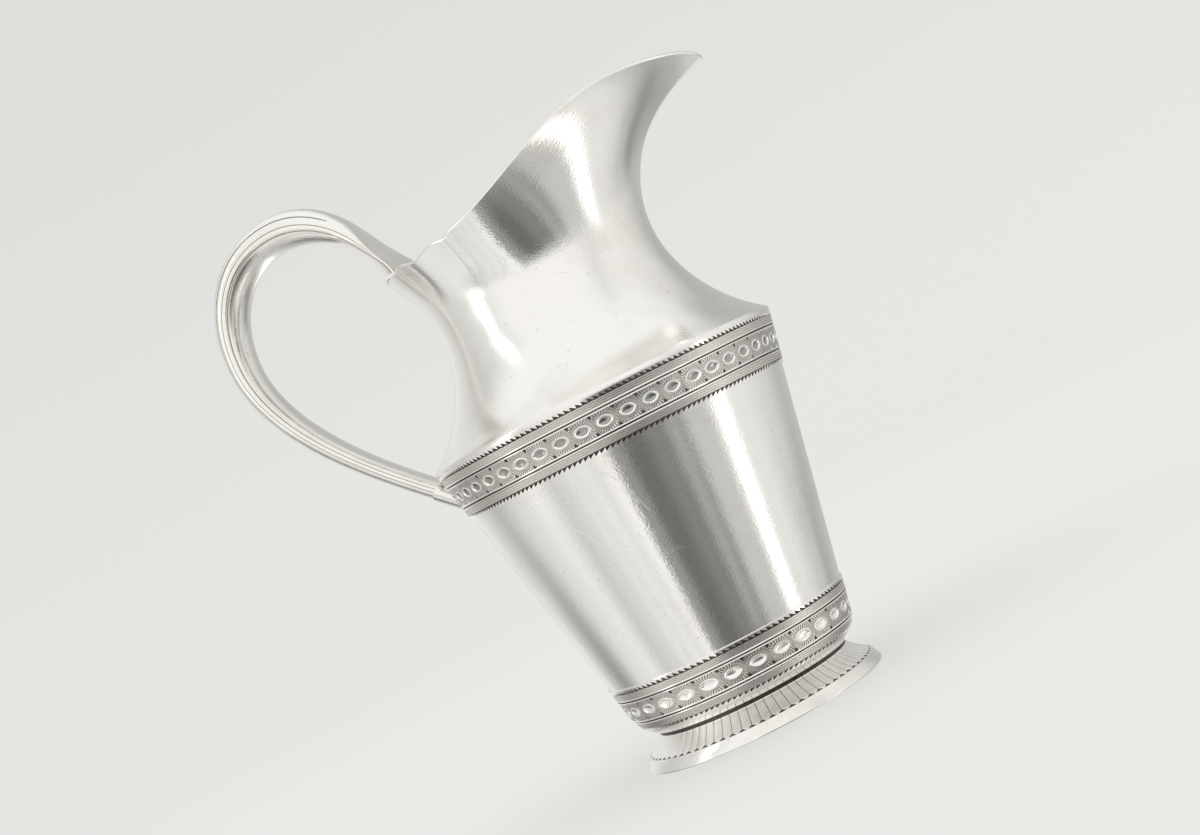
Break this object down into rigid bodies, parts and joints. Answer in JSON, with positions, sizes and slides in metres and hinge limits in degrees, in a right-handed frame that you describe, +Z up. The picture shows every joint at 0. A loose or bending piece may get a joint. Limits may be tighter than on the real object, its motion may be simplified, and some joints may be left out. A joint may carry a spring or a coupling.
{
  "type": "cream jug",
  "caption": "Small silver cream jug on a fluted foot: tapered round body, waisted neck, long pointed spout and a high hollow loop handle.",
  "frame": {"origin": "centre of the circle on which the foot rests", "axes": "+Z up along the body's centre line, +X towards the spout's tip, -X towards the handle"},
  "size_m": [0.1378, 0.0882, 0.1606],
  "materials": {
    "polished_silver": "hand-polished silver with a warm grey cast, fine wiping scratches and faint tarnish",
    "engraved_silver": "rolled and bright-cut silver with dark tarnish in the cuts",
    "dull_silver": "unpolished, lightly tarnished silver inside and under the foot"
  },
  "bodies": {
    "root": {"body_wall": "polished_silver", "base_disc": "dull_silver", "neck_and_spout": "polished_silver", "rim_wire": "polished_silver", "upper_band": "engraved_silver", "lower_band": "engraved_silver", "foot_collar": "engraved_silver", "foot_rim": "polished_silver", "handle_back": "polished_silver", "handle_inner": "polished_silver", "handle_upper_plate": "polished_silver", "handle_lower_plate": "polished_silver"}
  },
  "joints": []
}
